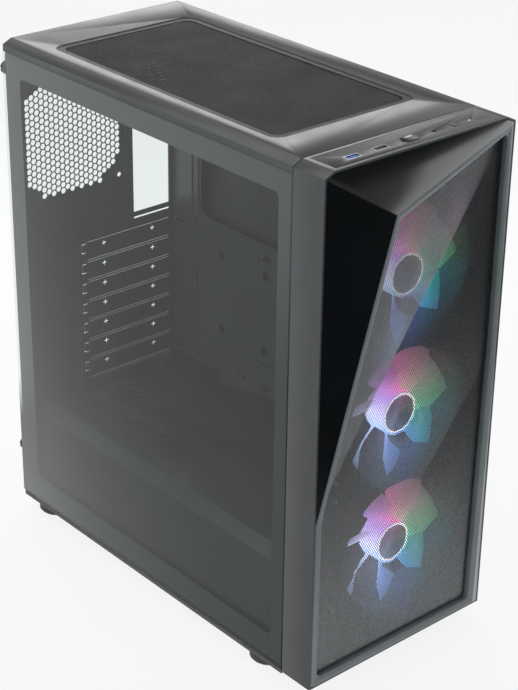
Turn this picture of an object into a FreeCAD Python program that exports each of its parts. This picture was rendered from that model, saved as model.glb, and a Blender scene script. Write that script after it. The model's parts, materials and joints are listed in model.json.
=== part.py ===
import FreeCAD, Part

import math
import os

import Sketcher

# Desktop computer tower: an empty steel case with a glass side, three lit fans and a folded mesh front.
# Frame: X to the right seen from the front, Y to the rear, Z up, millimetres.
# The origin is at the middle of the whole box in X and Y, on the surface that the feet stand on.

V = FreeCAD.Vector
doc = FreeCAD.newDocument("tower")
sheet = doc.addObject("Spreadsheet::Sheet", "dims")


# ---------------------------------------------------------------- measures

class Size:
    """A length that knows both its number and the sheet expression it comes from."""

    def __init__(self, text, value):
        self.text = text
        self.value = value

    def __float__(self):
        return float(self.value)

    def __neg__(self):
        return Size(f"(0 - {self.text})", -self.value)

    def __add__(self, other):
        return join(self, "+", other, self.value + float(other))

    def __radd__(self, other):
        return join(other, "+", self, float(other) + self.value)

    def __sub__(self, other):
        return join(self, "-", other, self.value - float(other))

    def __rsub__(self, other):
        return join(other, "-", self, float(other) - self.value)

    def __mul__(self, other):
        return join(self, "*", other, self.value * float(other))

    __rmul__ = __mul__

    def __truediv__(self, other):
        return join(self, "/", other, self.value / float(other))


def words(item):
    return item.text if isinstance(item, Size) else f"{float(item):.6g}"


def join(left, sign, right, value):
    return Size(f"({words(left)} {sign} {words(right)})", value)


row_count = 0


def size(alias, value, meaning):
    """Write one driving dimension into the sheet and return it."""
    global row_count
    row_count += 1
    sheet.set(f"A{row_count}", alias.replace("_", " "))
    sheet.set(f"B{row_count}", f"{value}")
    sheet.setAlias(f"B{row_count}", alias)
    sheet.set(f"C{row_count}", meaning)
    return Size(f"dims.{alias}", value)


# Overall
case_width = size("case_width", 199, "glass face to steel panel face")
case_depth = size("case_depth", 403.2, "front plane to the rear wall's outer face")
body_height = size("body_height", 449.1, "underside of the floor to the top face")
foot_height = size("foot_height", 13.5, "foot with its pad")
steel = size("steel", 0.8, "sheet steel thickness")
play = size("play", 0.3, "gap between neighbouring panels")
fine_play = size("fine_play", 0.05, "running clearance round a shaft or a screw")

# Roof
chamfer_in = size("chamfer_in", 8.9, "width of the bevel along the top edges")
chamfer_down = size("chamfer_down", 4.3, "height of the bevel along the top edges")
roof_flange = size("roof_flange", 5.9, "upright band below the bevel")
filter_width = size("filter_width", 149, "recess for the top filter, across")
filter_length = size("filter_length", 285, "recess for the top filter, along")
filter_start = size("filter_start", 74, "front plane to the recess")
filter_shift = size("filter_shift", -6, "recess centre off the case centre")
filter_corner = size("filter_corner", 12, "corner radius of the recess")
recess_depth = size("recess_depth", 2.0, "top face down to the recess floor")
filter_thick = size("filter_thick", 1.2, "top filter thickness")
filter_rim = size("filter_rim", 6, "width of the magnetic rim of a filter")
roof_hole = size("roof_hole", 3.0, "radius of the holes under the filter")
roof_pitch = size("roof_pitch", 9.0, "pitch of the holes under the filter")

# Side panels
glass_thick = size("glass_thick", 3, "tempered glass")
sill_height = size("sill_height", 4, "upturned edge of the floor")
panel_proud = size("panel_proud", 2.3, "side panels past the rear wall")
return_width = size("return_width", 16, "panel flange behind the rear wall")
panel_travel = size("panel_travel", 20, "how far a side panel slides to come free")
thumb_radius = size("thumb_radius", 6, "thumb screw head")
thumb_length = size("thumb_length", 6.5, "thumb screw head")
screw_radius = size("screw_radius", 1.75, "case screw shank")
screw_reach = size("screw_reach", 7, "case screw shank through the rear wall")

# Inside
tray_offset = size("tray_offset", 16.5, "case side to the board tray's face")
shroud_height = size("shroud_height", 99.5, "underside of the floor to the shroud top")
shroud_gap = size("shroud_gap", 11.5, "case side to the shroud's upright face")
shroud_bevel_in = size("shroud_bevel_in", 11, "shroud bend, across")
shroud_bevel_down = size("shroud_bevel_down", 8, "shroud bend, down")
vent_top = size("vent_top", 98.9, "top face down to the rear vent's centre")
vent_x = size("vent_x", -32.7, "rear vent centre")
vent_width = size("vent_width", 113, "rear vent across its flats")
hex_flats = size("hex_flats", 5.0, "vent hexagon across flats")
hex_pitch = size("hex_pitch", 5.9, "vent hexagon pitch")
fan_spacing = size("fan_spacing", 105, "screw spacing of a 120 mm fan")
fan_hole = size("fan_hole", 2.2, "radius of a fan screw hole")
io_width = size("io_width", 44.45, "board port opening, across")
io_height = size("io_height", 158.75, "board port opening, up")
io_drop = size("io_drop", 34.6, "top face down to the port opening")
io_tray = size("io_tray", 4.7, "port opening's edge to the tray face")
slot_pitch = size("slot_pitch", 20.32, "expansion slot pitch")
slot_height = size("slot_height", 18.4, "expansion slot opening")
slot_length = size("slot_length", 96, "expansion slot opening")
ridge_width = size("ridge_width", 3, "raised ridge on the board tray")
ridge_rise = size("ridge_rise", 1.2, "height of a raised ridge")
ridge_near = size("ridge_near", 6, "window edge to the inner ridge")
ridge_far = size("ridge_far", 15, "window edge to the outer ridge")
slot_play = size("slot_play", 0.5, "light gap round a slot cover")
thumb_in = size("thumb_in", 8, "case side to a thumb screw's axis")
slot_drop = size("slot_drop", 24.9, "port opening down to the first slot's centre")
supply_width = size("supply_width", 142, "power supply opening")
supply_height = size("supply_height", 76, "power supply opening")
supply_lift = size("supply_lift", 8, "floor to the power supply opening")
board_rows = size("board_rows", 132.08, "lower pair of board screw rows")
board_rows_top = size("board_rows_top", 154.94, "upper pair of board screw rows")
board_columns = size("board_columns", 124.46, "rear pair of board screw columns")
board_columns_far = size("board_columns_far", 102.87, "front pair of board screw columns")
standoff_radius = size("standoff_radius", 3, "board standoff")
standoff_height = size("standoff_height", 6.5, "board standoff")
standoff_bore = size("standoff_bore", 1.4, "thread in a standoff")
drive_long = size("drive_long", 76.6, "small drive's hole spacing, long way")
drive_short = size("drive_short", 61.7, "small drive's hole spacing, short way")
grommet_hole = size("grommet_hole", 4.5, "radius of a small drive's hole")

# Front panel
panel_depth = size("panel_depth", 33.6, "front plane to the front steel plate")
panel_raise = size("panel_raise", 2, "front panel's lower edge above the floor")
rim = size("rim", 1.8, "wall of the front panel")
cover_thick = size("cover_thick", 2.4, "faceted front covers")
nose_reach = size("nose_reach", 26, "upper point of the front, forward")
nose_in = size("nose_in", 47.4, "upper point, from the left side")
nose_down = size("nose_down", 35.3, "upper point, from the top")
toe_reach = size("toe_reach", 10, "lower point of the front, forward")
toe_in = size("toe_in", 18.1, "lower point, from the right side")
toe_up = size("toe_up", 12, "lower point, from the panel's lower edge")
kink_up = size("kink_up", 155, "left kink, from the panel's lower edge")
wedge_up = size("wedge_up", 244, "start of the right flank, from the lower edge")
frame_width = size("frame_width", 6.5, "frame round the mesh")
mesh_thick = size("mesh_thick", 0.8, "front mesh")
mesh_sink = size("mesh_sink", 4.4, "mesh below the frame's face")
frame_depth = size("frame_depth", 5.6, "frame round the mesh, front to rear")
frame_corner = size("frame_corner", 4, "inner corner radius of the frame")
clip_radius = size("clip_radius", 3, "push-in clip of the front panel")
clip_reach = size("clip_reach", 5, "clip past the front plate's face")
clip_in = size("clip_in", 9.5, "case side to a clip's centre")

# Port strip
strip_width = size("strip_width", 172, "port strip, across")
strip_depth = size("strip_depth", 27, "port strip, front to rear")
strip_start = size("strip_start", 3.5, "front plane to the port strip")
strip_thick = size("strip_thick", 2, "port strip")
port_line = size("port_line", 14, "front plane to the ports' centre line")
usb_width = size("usb_width", 12.5, "USB socket opening")
usb_height = size("usb_height", 5.1, "USB socket opening")
usb_depth = size("usb_depth", 12, "USB socket")
usb_wall = size("usb_wall", 0.5, "USB socket shell")
usb_first = size("usb_first", -60, "first USB socket")
usb_second = size("usb_second", -32, "second USB socket")
power_x = size("power_x", -2, "power button")
power_width = size("power_width", 17, "power button, across")
power_depth = size("power_depth", 9.5, "power button, front to rear")
power_travel = size("power_travel", 1.2, "power button travel")
jack_x = size("jack_x", 24, "audio socket")
jack_radius = size("jack_radius", 3.2, "audio socket collar")
jack_bore = size("jack_bore", 1.8, "audio socket bore")
reset_x = size("reset_x", 45, "reset button")
reset_side = size("reset_side", 5.5, "reset button")
reset_travel = size("reset_travel", 0.8, "reset button travel")
lamp_x = size("lamp_x", 62, "power light")
lamp_radius = size("lamp_radius", 1.1, "power light")
button_play = size("button_play", 0.25, "gap round a button")
button_proud = size("button_proud", 0.4, "button above the strip")

# Fans
fan_side = size("fan_side", 120, "fan frame")
fan_thick = size("fan_thick", 25, "fan frame")
fan_bore = size("fan_bore", 57.5, "air bore radius of a fan")
fan_flange = size("fan_flange", 4, "mounting flange of a fan")
fan_corner = size("fan_corner", 6, "corner radius of a fan")
fan_low = size("fan_low", 98.6, "underside of the floor to the lowest fan's centre")
fan_gap = size("fan_gap", 0.7, "gap between the front fans")
hub_radius = size("hub_radius", 19, "fan hub")
hub_wall = size("hub_wall", 1.6, "wall of the fan hub")
ring_inner = size("ring_inner", 15.4, "light ring, inside radius")
ring_outer = size("ring_outer", 17.4, "light ring, outside radius")
ring_thick = size("ring_thick", 0.8, "light ring")
blade_tip = size("blade_tip", 55.5, "fan blade tip radius")
blade_thick = size("blade_thick", 1.6, "fan blade")
motor_radius = size("motor_radius", 15, "fan motor")
shaft_radius = size("shaft_radius", 1.5, "fan shaft")

# Feet, lower filter, drive cage
foot_radius = size("foot_radius", 16.4, "foot")
foot_in = size("foot_in", 20, "case side to a foot's centre")
foot_front = size("foot_front", 72, "front plane to the front feet")
foot_rear = size("foot_rear", 23, "rear wall to the rear feet")
pad_thick = size("pad_thick", 1.5, "rubber pad under a foot")
pad_radius = size("pad_radius", 13.5, "rubber pad under a foot")
sieve_gap = size("sieve_gap", 1.5, "lower filter's rail to a foot")
rail_wall = size("rail_wall", 2.5, "wall of the lower filter's rail")
rail_lip = size("rail_lip", 4, "ledge of the lower filter's rail")
rail_floor = size("rail_floor", 0.8, "ledge thickness of the lower filter's rail")
sieve_length = size("sieve_length", 170, "lower filter")
sieve_thick = size("sieve_thick", 2, "lower filter")
sieve_tab = size("sieve_tab", 4, "pull tab past the rear wall")
cage_width = size("cage_width", 150, "drive cage, across the case")
cage_length = size("cage_length", 112, "drive cage, along the case")
cage_height = size("cage_height", 84, "drive cage")
cage_start = size("cage_start", 52, "front plane to the drive cage")
cage_shift = size("cage_shift", -3, "drive cage centre off the case centre")
bay_pitch = size("bay_pitch", 40, "pitch of the drive trays")
bay_lift = size("bay_lift", 6, "cage floor to the lower ledge")
tray_thick = size("tray_thick", 2.2, "drive tray floor")
tray_rail = size("tray_rail", 14, "drive tray side rail")

rear_proud = panel_proud + thumb_length
half = case_width / 2
base = foot_height
top = foot_height + body_height
front = -(case_depth + rear_proud - nose_reach) / 2
rear = front + case_depth
plate_y = front + panel_depth
wall_y = rear - steel
panel_low = base + sill_height + play
panel_high = top - chamfer_down - roof_flange - play
skin_left = -half + glass_thick + steel + play
skin_right = half - steel - play
tray_x = half - tray_offset
shroud_top = base + shroud_height
shroud_x = -half + shroud_gap
io_right = tray_x - io_tray
io_left = io_right - io_width
io_high = top - io_drop
io_low = io_high - io_height
vent_z = top - vent_top
filter_y = front + filter_start + filter_length / 2
recess_z = top - recess_depth
lower_edge = base + panel_raise
port_y = front + port_line
fan_face = plate_y - fan_thick
FAN_NAMES = ("bottom", "middle", "top")
SLOTS = 7
doc.recompute()


# ---------------------------------------------------------------- making

def bind(thing, prop, amount):
    """Give a property its size, tied to the sheet where the size comes from it."""
    thing.setExpression(prop, words(amount))


def place(thing, x, y, z):
    for axis, amount in (("x", x), ("y", y), ("z", z)):
        bind(thing, f"Placement.Base.{axis}", amount)


def box(name, x0, x1, y0, y1, z0, z1):
    """A block between two corners."""
    thing = doc.addObject("Part::Box", name)
    bind(thing, "Length", x1 - x0)
    bind(thing, "Width", y1 - y0)
    bind(thing, "Height", z1 - z0)
    place(thing, x0, y0, z0)
    return thing


TURN = {"x": FreeCAD.Rotation(V(0, 1, 0), 90), "y": FreeCAD.Rotation(V(1, 0, 0), -90), "z": FreeCAD.Rotation()}


def rod(name, axis, radius, length, x, y, z):
    """A cylinder that starts at a point and runs along +X, +Y or +Z."""
    thing = doc.addObject("Part::Cylinder", name)
    bind(thing, "Radius", radius)
    bind(thing, "Height", length)
    thing.Placement = FreeCAD.Placement(V(), TURN[axis])
    place(thing, x, y, z)
    return thing


def gather(name, things):
    """Separate solids kept in one object."""
    thing = doc.addObject("Part::Compound", name)
    thing.Links = things
    return thing


def cut(name, base_thing, tools):
    thing = doc.addObject("Part::Cut", name)
    thing.Base = base_thing
    thing.Tool = tools[0] if len(tools) == 1 else gather(name + "_tools", tools)
    return thing


def fuse(name, things):
    thing = doc.addObject("Part::MultiFuse", name)
    thing.Shapes = things
    thing.Refine = True
    return thing


def rounded(name, x0, x1, y0, y1, z0, z1, radius, axis):
    """A block with its four edges along one axis rounded."""
    block = box(name + "_block", x0, x1, y0, y1, z0, z1)
    block.recompute()
    thing = doc.addObject("Part::Fillet", name)
    thing.Base = block
    direction = {"x": V(1, 0, 0), "y": V(0, 1, 0), "z": V(0, 0, 1)}[axis]
    picked = []
    for number, edge in enumerate(block.Shape.Edges, 1):
        if abs(edge.tangentAt(edge.FirstParameter).dot(direction)) > 0.99:
            picked.append((number, float(radius), float(radius)))
    thing.Edges = picked
    return thing


def outline_sketch(body, name, plane, points):
    """A sketch of corner points on a body's origin plane, each point held by two driving distances."""
    sketch = body.newObject("Sketcher::SketchObject", name + "_outline")
    origin_plane = [item for item in body.Origin.OriginFeatures if item.Role == plane][0]
    sketch.AttachmentSupport = [(origin_plane, "")]
    sketch.MapMode = "FlatFace"
    corners = [V(float(across), float(up), 0) for across, up in points]
    for here, there in zip(corners, corners[1:] + corners[:1]):
        sketch.addGeometry(Part.LineSegment(here, there))
    for index in range(len(points)):
        sketch.addConstraint(Sketcher.Constraint("Coincident", index, 2, (index + 1) % len(points), 1))
    for index, point in enumerate(points):
        for kind, amount in zip(("DistanceX", "DistanceY"), point):
            number = sketch.addConstraint(Sketcher.Constraint(kind, -1, 1, index, 1, float(amount)))
            sketch.setExpression(f"Constraints[{number}]", words(amount))
    return sketch


def profile(name, plane, points, start, length):
    """A PartDesign body: an outline of corner points on an origin plane, padded along the plane's axis."""
    body = doc.addObject("PartDesign::Body", name)
    sketch = outline_sketch(body, name, plane, points)
    pad = body.newObject("PartDesign::Pad", name + "_pad")
    pad.Profile = sketch
    bind(pad, "Length", length)
    pad.Reversed = plane == "XZ_Plane"
    body.Tip = pad
    axis = {"XZ_Plane": "y", "YZ_Plane": "x", "XY_Plane": "z"}[plane]
    bind(body, f"Placement.Base.{axis}", start)
    return body


def turned(name, points, x, y, z):
    """A PartDesign body of revolution: radius and height corner points, turned about an upright axis."""
    body = doc.addObject("PartDesign::Body", name)
    sketch = outline_sketch(body, name, "XZ_Plane", points)
    spin = body.newObject("PartDesign::Revolution", name + "_spin")
    spin.Profile = sketch
    spin.ReferenceAxis = (sketch, ["V_Axis"])
    spin.Angle = 360
    body.Tip = spin
    place(body, x, y, z)
    return body


def shaped(name, shape):
    """A shape made from the sheet's sizes with Part's own functions."""
    thing = doc.addObject("Part::Feature", name)
    thing.Shape = shape
    return thing


def loop(points):
    return Part.makePolygon(list(points) + [points[0]])


def sheet_plate(name, axis, start, thick, outline, holes):
    """A flat plate with holes: outlines are drawn in the plate's plane and given the plate's thickness."""
    direction = {"x": V(1, 0, 0), "y": V(0, 1, 0), "z": V(0, 0, 1)}[axis]
    face = Part.Face([outline] + holes)
    face.validate()
    solid = face.extrude(direction * float(thick))
    solid.translate(direction * float(start))
    return shaped(name, solid)


def spot(axis, a, b):
    """A point of a plate's plane: (x, y), (x, z) or (y, z)."""
    return {"z": V(a, b, 0), "y": V(a, 0, b), "x": V(0, a, b)}[axis]


def ring_hole(axis, a, b, radius):
    direction = {"x": V(1, 0, 0), "y": V(0, 1, 0), "z": V(0, 0, 1)}[axis]
    return Part.Wire(Part.makeCircle(float(radius), spot(axis, float(a), float(b)), direction))


def square_hole(axis, a0, a1, b0, b1, corner=0.0):
    """A rectangular hole, with rounded corners if a radius is given."""
    a0, a1, b0, b1, corner = float(a0), float(a1), float(b0), float(b1), float(corner)
    if corner <= 0:
        return loop([spot(axis, a0, b0), spot(axis, a1, b0), spot(axis, a1, b1), spot(axis, a0, b1)])
    edges = []
    turns = ((a1 - corner, b0 + corner, -90), (a1 - corner, b1 - corner, 0),
             (a0 + corner, b1 - corner, 90), (a0 + corner, b0 + corner, 180))
    ends = []
    for ca, cb, begin in turns:
        on_arc = []
        for angle in (begin, begin + 45, begin + 90):
            turn = math.radians(angle)
            on_arc.append(spot(axis, ca + corner * math.cos(turn), cb + corner * math.sin(turn)))
        ends.append(on_arc)
    for number, arc in enumerate(ends):
        edges.append(Part.Arc(*arc).toShape())
        edges.append(Part.makeLine(arc[2], ends[(number + 1) % 4][0]))
    return Part.Wire(Part.__sortEdges__(edges))


def polygon_hole(axis, points):
    return loop([spot(axis, float(a), float(b)) for a, b in points])


def plus_hole(axis, a, b, reach, bar):
    """A plus-shaped hole."""
    a, b = float(a), float(b)
    points = []
    for quarter in range(4):
        turn = math.radians(90 * quarter)
        for u, w in ((reach, -bar), (reach, bar), (bar, bar)):
            points.append((a + u * math.cos(turn) - w * math.sin(turn), b + u * math.sin(turn) + w * math.cos(turn)))
    return polygon_hole(axis, points)


def four(center_a, center_b, span_a, span_b):
    """The four corners of a rectangle about a centre."""
    a, b = float(center_a), float(center_b)
    da, db = float(span_a) / 2, float(span_b) / 2
    return [(a - da, b - db), (a + da, b - db), (a + da, b + db), (a - da, b + db)]


made = {}


def node(name, thing):
    """Register a finished sub-part under the name of its file."""
    thing.Label = name
    made[name] = thing
    return thing


# ---------------------------------------------------------------- steel chassis

def chassis_floor():
    inner = half - steel
    lip = base + sill_height
    low = base + steel
    tub = profile("floor_tub", "XZ_Plane", [(-half, base), (half, base), (half, lip), (inner, lip),
                  (inner, low), (-inner, low), (-inner, lip), (-half, lip)], plate_y + play, rear - plate_y - play)
    slots = []
    rows = 14
    for column in range(3):
        for line in range(rows):
            x = (column - 1) * sieve_width / 3.3
            y = rear - sieve_length / 2 + (line - (rows - 1) / 2) * sieve_length / 15.5
            reach = sieve_width / 7.6
            slots.append(box(f"intake_{column}_{line}", x - reach, x + reach, y - 2, y + 2, base - 1, low + 1))
    rails = []
    near = sieve_width / 2 + play
    ledge_top = base - sieve_thick - 2 * play
    ledge_low = ledge_top - rail_floor
    start = rear - sieve_length + rail_lip
    end = rear - 2
    for side in (-1, 1):
        wall = sorted((side * near, side * (near + rail_wall)), key=float)
        ledge = sorted((side * (near - rail_lip), side * (near + rail_wall)), key=float)
        rails.append(box(f"rail_wall_{side}", *wall, start, end, ledge_low, base))
        rails.append(box(f"rail_ledge_{side}", *ledge, start, end, ledge_low, ledge_top))
    node("chassis_floor", fuse("floor", [cut("floor_cut", tub, slots)] + rails))


def roof_outline(depth, wall):
    """The case's cross-section outline, set in by a wall: bevelled top corners, open at the bottom."""
    side = half - wall
    return [(-side, depth), (-side, top - chamfer_down - wall / 2), (-(half - chamfer_in - wall / 2), top - wall),
            (half - chamfer_in - wall / 2, top - wall), (side, top - chamfer_down - wall / 2), (side, depth)]


def chassis_roof():
    low = top - chamfer_down - roof_flange
    outer = roof_outline(low, 0.0)
    inner = roof_outline(low, steel)
    shell = profile("roof_shell", "XZ_Plane", outer + inner[::-1], plate_y + play, rear - plate_y - play)
    x0 = filter_shift - filter_width / 2
    x1 = filter_shift + filter_width / 2
    y0 = filter_y - filter_length / 2
    y1 = filter_y + filter_length / 2
    opening = rounded("roof_opening", x0 - steel, x1 + steel, y0 - steel, y1 + steel, recess_z - steel, top + 1,
                      filter_corner, "z")
    pan_outer = rounded("pan_outer", x0 - steel, x1 + steel, y0 - steel, y1 + steel, recess_z - steel, top,
                        filter_corner, "z")
    pan_inner = rounded("pan_inner", x0, x1, y0, y1, recess_z, top + 1, filter_corner - steel, "z")
    pan_open = box("pan_open", x0 + 14, x1 - 14, y0 + 14, y1 - 14, recess_z - 2 * steel, recess_z + 1)
    pan = cut("pan", cut("pan_hollow", pan_outer, [pan_inner]), [pan_open])
    holes = []
    pitch = float(roof_pitch)
    across = (float(filter_width) - 28) / 2
    along = (float(filter_length) - 28) / 2
    columns = int((across - float(roof_hole)) / pitch)
    lines = int((along - float(roof_hole)) / (pitch * 0.866))
    keep_clear = []
    for side in (-1, 1):
        centre = float(filter_y) + side * float(fan_side) / 2
        keep_clear += four(filter_shift, centre, fan_spacing, fan_spacing)
    for line in range(-lines, lines + 1):
        for column in range(-columns, columns + 1):
            x = float(filter_shift) + (column + 0.5 * (line % 2)) * pitch
            y = float(filter_y) + line * pitch * 0.866
            if abs(x - float(filter_shift)) > across - float(roof_hole) - 1:
                continue
            if all(math.hypot(x - a, y - b) > float(roof_hole + fan_hole) + 1 for a, b in keep_clear):
                holes.append(ring_hole("z", x, y, roof_hole))
    holes += [ring_hole("z", a, b, fan_hole) for a, b in keep_clear]
    rim_line = square_hole("z", x0 + 14, x1 - 14, y0 + 14, y1 - 14)
    vent = sheet_plate("roof_vent", "z", recess_z - steel, steel, rim_line, holes)
    node("chassis_roof", fuse("roof", [cut("roof_cut", shell, [opening]), pan, vent]))


def slot_center(number):
    return io_low - slot_drop - slot_pitch * number


def hexagon(x, z, flats):
    reach = flats / math.sqrt(3)
    return [(x + reach * math.cos(math.radians(60 * k)), z + reach * math.sin(math.radians(60 * k)))
            for k in range(6)]


def vent_hexagons():
    """Hexagons in staggered columns, kept inside a square with cut corners."""
    holes = []
    pitch = float(hex_pitch)
    reach = float(vent_width) / 2
    step = pitch * math.sqrt(3) / 2
    columns = int(reach / step) + 1
    rows = int(reach / pitch) + 1
    for column in range(-columns, columns + 1):
        for line in range(-rows, rows + 1):
            dx = column * step
            dz = (line + 0.5 * (column % 2)) * pitch
            edge = max(abs(dx), abs(dz)) + float(hex_flats) / 2
            if edge <= reach + 1 and abs(dx) + abs(dz) <= reach * 1.5:
                holes.append(polygon_hole("y", hexagon(float(vent_x) + dx, float(vent_z) + dz, float(hex_flats))))
    return holes


def slot_clasps(a_right):
    """The bracket-shaped slits beside the slots, as outlines."""
    holes = []
    bar = 1.1
    for number in range(SLOTS):
        high = float(slot_center(number)) + float(slot_height) / 2 - 0.6
        low = high - 10
        left = float(a_right) - 7
        right = float(a_right) - 1.2
        points = [(right, high), (right, high - bar), (left + bar, high - bar), (left + bar, low + bar),
                  (right, low + bar), (right, low), (left, low), (left, high)]
        holes.append(polygon_hole("y", points))
    return holes


slot_left = tray_x - 6 - slot_length
slot_right = tray_x - 6
supply_x = (tray_x + shroud_x) / 2
supply_low = base + supply_lift
supply_high = supply_low + supply_height
thumb_spots = (base + 50, top - 28)
thumb_x = half - thumb_in
foot_x = half - foot_in
sieve_width = 2 * (foot_x - foot_radius - sieve_gap - rail_wall - play)


def end_outline():
    """The outline of the rear and front steel plates: it meets the roof's underside and clears its bevels."""
    ridge = half - chamfer_in - steel
    slope = chamfer_down / chamfer_in
    crown = top - steel
    left_drop = (-skin_left - ridge) * slope + play
    right_drop = (skin_right - ridge) * slope + play
    return polygon_hole("y", [(skin_left, base + steel), (skin_right, base + steel), (skin_right, crown - right_drop),
                              (ridge, crown), (-ridge, crown), (skin_left, crown - left_drop)])


def chassis_rear():
    outline = end_outline()
    holes = vent_hexagons()
    holes += [ring_hole("y", a, b, fan_hole) for a, b in four(vent_x, vent_z, fan_spacing, fan_spacing)]
    holes.append(square_hole("y", io_left, io_right, io_low, io_high, 1.5))
    holes.append(square_hole("y", io_left + 2, io_right, io_low - 6.6, io_low - 4.8))
    for number in range(SLOTS):
        middle = slot_center(number)
        holes.append(square_hole("y", slot_left, slot_right, middle - slot_height / 2, middle + slot_height / 2))
    holes += slot_clasps(slot_left)
    holes.append(square_hole("y", supply_x - supply_width / 2, supply_x + supply_width / 2, supply_low, supply_high, 3))
    for z in thumb_spots:
        for x in (-thumb_x, thumb_x):
            holes.append(ring_hole("y", x, z, screw_radius + play))
    wall = sheet_plate("rear_sheet", "y", wall_y, steel, outline, holes)
    rib_z = io_low - 6
    ribs = [box("rear_rib", io_left - 8, io_left - 1, wall_y - 4, wall_y, rib_z, top - steel - 6)]
    ribs.append(box("rear_flange_left", skin_left, skin_left + steel, wall_y - 12, wall_y, base + steel, panel_high))
    ribs.append(box("rear_flange_right", skin_right - steel, skin_right, wall_y - 12, wall_y, base + steel, panel_high))
    node("chassis_rear", fuse("rear", [wall] + ribs))


def slot_parts():
    covers = []
    for number in range(SLOTS):
        middle = slot_center(number)
        outline = square_hole("y", slot_left, slot_right, middle - slot_height / 2 + slot_play,
                              middle + slot_height / 2 - slot_play)
        marks = [plus_hole("y", slot_left + span, middle + 3.5, 2.6, 0.55) for span in (19.5, 76.4)]
        covers.append(sheet_plate(f"slot_cover_{number}", "y", wall_y, steel, outline, marks))
    node("slot_covers", gather("covers", covers))
    left, right = slot_left - 14.5, slot_left - 0.8
    high = slot_center(0) + slot_pitch * 0.9
    low = shroud_top + play
    outline = square_hole("y", left, right, low, high)
    screw_x = slot_left - 10.5
    screw_z = [slot_center(number) + slot_height / 2 + 1 for number in range(SLOTS)]
    holes = slot_clasps(slot_left) + [ring_hole("y", screw_x, z, screw_radius + fine_play) for z in screw_z]
    strip = sheet_plate("bracket_sheet", "y", wall_y - steel, steel, outline, holes)
    upright = box("bracket_upright", left, left + steel, wall_y - 8, wall_y - steel, low, high)
    node("slot_bracket", fuse("bracket", [strip, upright]))
    screws = []
    for number, z in enumerate(screw_z):
        head = rod(f"slot_head_{number}", "y", 2.6, 1.4, screw_x, wall_y - steel - 1.4, z)
        shank = rod(f"slot_shank_{number}", "y", screw_radius, steel, screw_x, wall_y - steel, z)
        screws.append(fuse(f"slot_screw_{number}", [head, shank]))
    node("slot_screws", gather("slot_screw_set", screws))


board_y = wall_y - 13.5
board_z = io_low - 13.5


def board_spots():
    spots = []
    for y in (board_y, board_y - board_columns, board_y - board_columns - board_columns_far):
        for z in (board_z + board_rows_top, board_z, board_z - board_rows):
            spots.append((y, z))
    return spots


drive_y = wall_y - 104
drive_z = board_z - 57.5
cutout_y0 = board_y - board_columns - 44
cutout_y1 = board_y - 28
cutout_z0 = board_z + 12
cutout_z1 = board_z + board_rows_top - 20


def tray_ridge(name, y0, y1, z0, z1, corner):
    """A raised band round a rounded rectangle of the board tray."""
    width = ridge_width
    ring = square_hole("x", y0, y1, z0, z1, corner)
    gap = square_hole("x", y0 + width, y1 - width, z0 + width, z1 - width, corner - width)
    return sheet_plate(f"tray_ridge_{name}", "x", tray_x - ridge_rise, ridge_rise, ring, [gap])


def motherboard_tray():
    y0 = plate_y + steel + play
    y1 = wall_y
    outline = square_hole("x", y0, y1, base + steel, top - steel - 7)
    holes = [square_hole("x", cutout_y0, cutout_y1, cutout_z0, cutout_z1, 12)]
    holes += [ring_hole("x", a, b, grommet_hole) for a, b in four(drive_y, drive_z, drive_short, drive_long)]
    holes += [ring_hole("x", y, z, standoff_bore) for y, z in board_spots()]
    for number in range(3):
        middle = shroud_top + 75 + 105 * number
        holes.append(square_hole("x", y0 + 22, y0 + 48, middle - 32, middle + 32, 8))
    tie_z = shroud_top + 7
    for number in range(4):
        middle = y1 - 40 - 62 * number
        holes.append(square_hole("x", middle - 6, middle - 2, tie_z, tie_z + 3))
        holes.append(square_hole("x", middle + 2, middle + 6, tie_z, tie_z + 3))
    flat = sheet_plate("tray_sheet", "x", tray_x, steel, outline, holes)
    drop_near = ridge_near
    drop_far = cutout_z0 - board_z + standoff_radius + ridge_width + 1
    low, high = drive_z - 54, drive_z + 54
    frames = [
        tray_ridge("near", cutout_y0 - ridge_near, cutout_y1 + ridge_near, cutout_z0 - drop_near,
                   cutout_z1 + ridge_near, 12 + ridge_near),
        tray_ridge("far", cutout_y0 - ridge_far, cutout_y1 + ridge_far, cutout_z0 - drop_far,
                   cutout_z1 + ridge_far, 12 + ridge_far),
        tray_ridge("low", cutout_y0 - 10, cutout_y1 + 8, low, high, 14)]
    node("motherboard_tray", fuse("tray", [flat] + frames))
    posts = []
    for number, (y, z) in enumerate(board_spots()):
        post = rod(f"post_{number}", "x", standoff_radius, standoff_height, tray_x - standoff_height, y, z)
        bore = rod(f"post_bore_{number}", "x", standoff_bore, standoff_height + 2, tray_x - standoff_height - 1, y, z)
        posts.append(cut(f"standoff_{number}", post, [bore]))
    node("board_standoffs", gather("standoffs", posts))


def fan_center(number):
    return base + fan_low + (fan_side + fan_gap) * number


def clip_spots():
    side = half - clip_in
    heights = (base + 28, base + body_height / 2, top - 34)
    return [(sign * side, z) for z in heights for sign in (-1, 1)]


def front_plate():
    outline = end_outline()
    holes = []
    for number in range(3):
        holes.append(ring_hole("y", 0, fan_center(number), fan_bore))
        holes += [ring_hole("y", a, b, fan_hole) for a, b in four(0, fan_center(number), fan_spacing, fan_spacing)]
    for x, z in clip_spots():
        holes.append(ring_hole("y", x, z, clip_radius + play))
    flat = sheet_plate("front_sheet", "y", plate_y, steel, outline, holes)
    flanges = []
    for name, x in (("left", skin_left), ("right", skin_right - steel)):
        flanges.append(box(f"front_flange_{name}", x, x + steel, plate_y + steel, plate_y + 14, base + steel, panel_high))
    node("front_plate", fuse("front_steel", [flat] + flanges))


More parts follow.
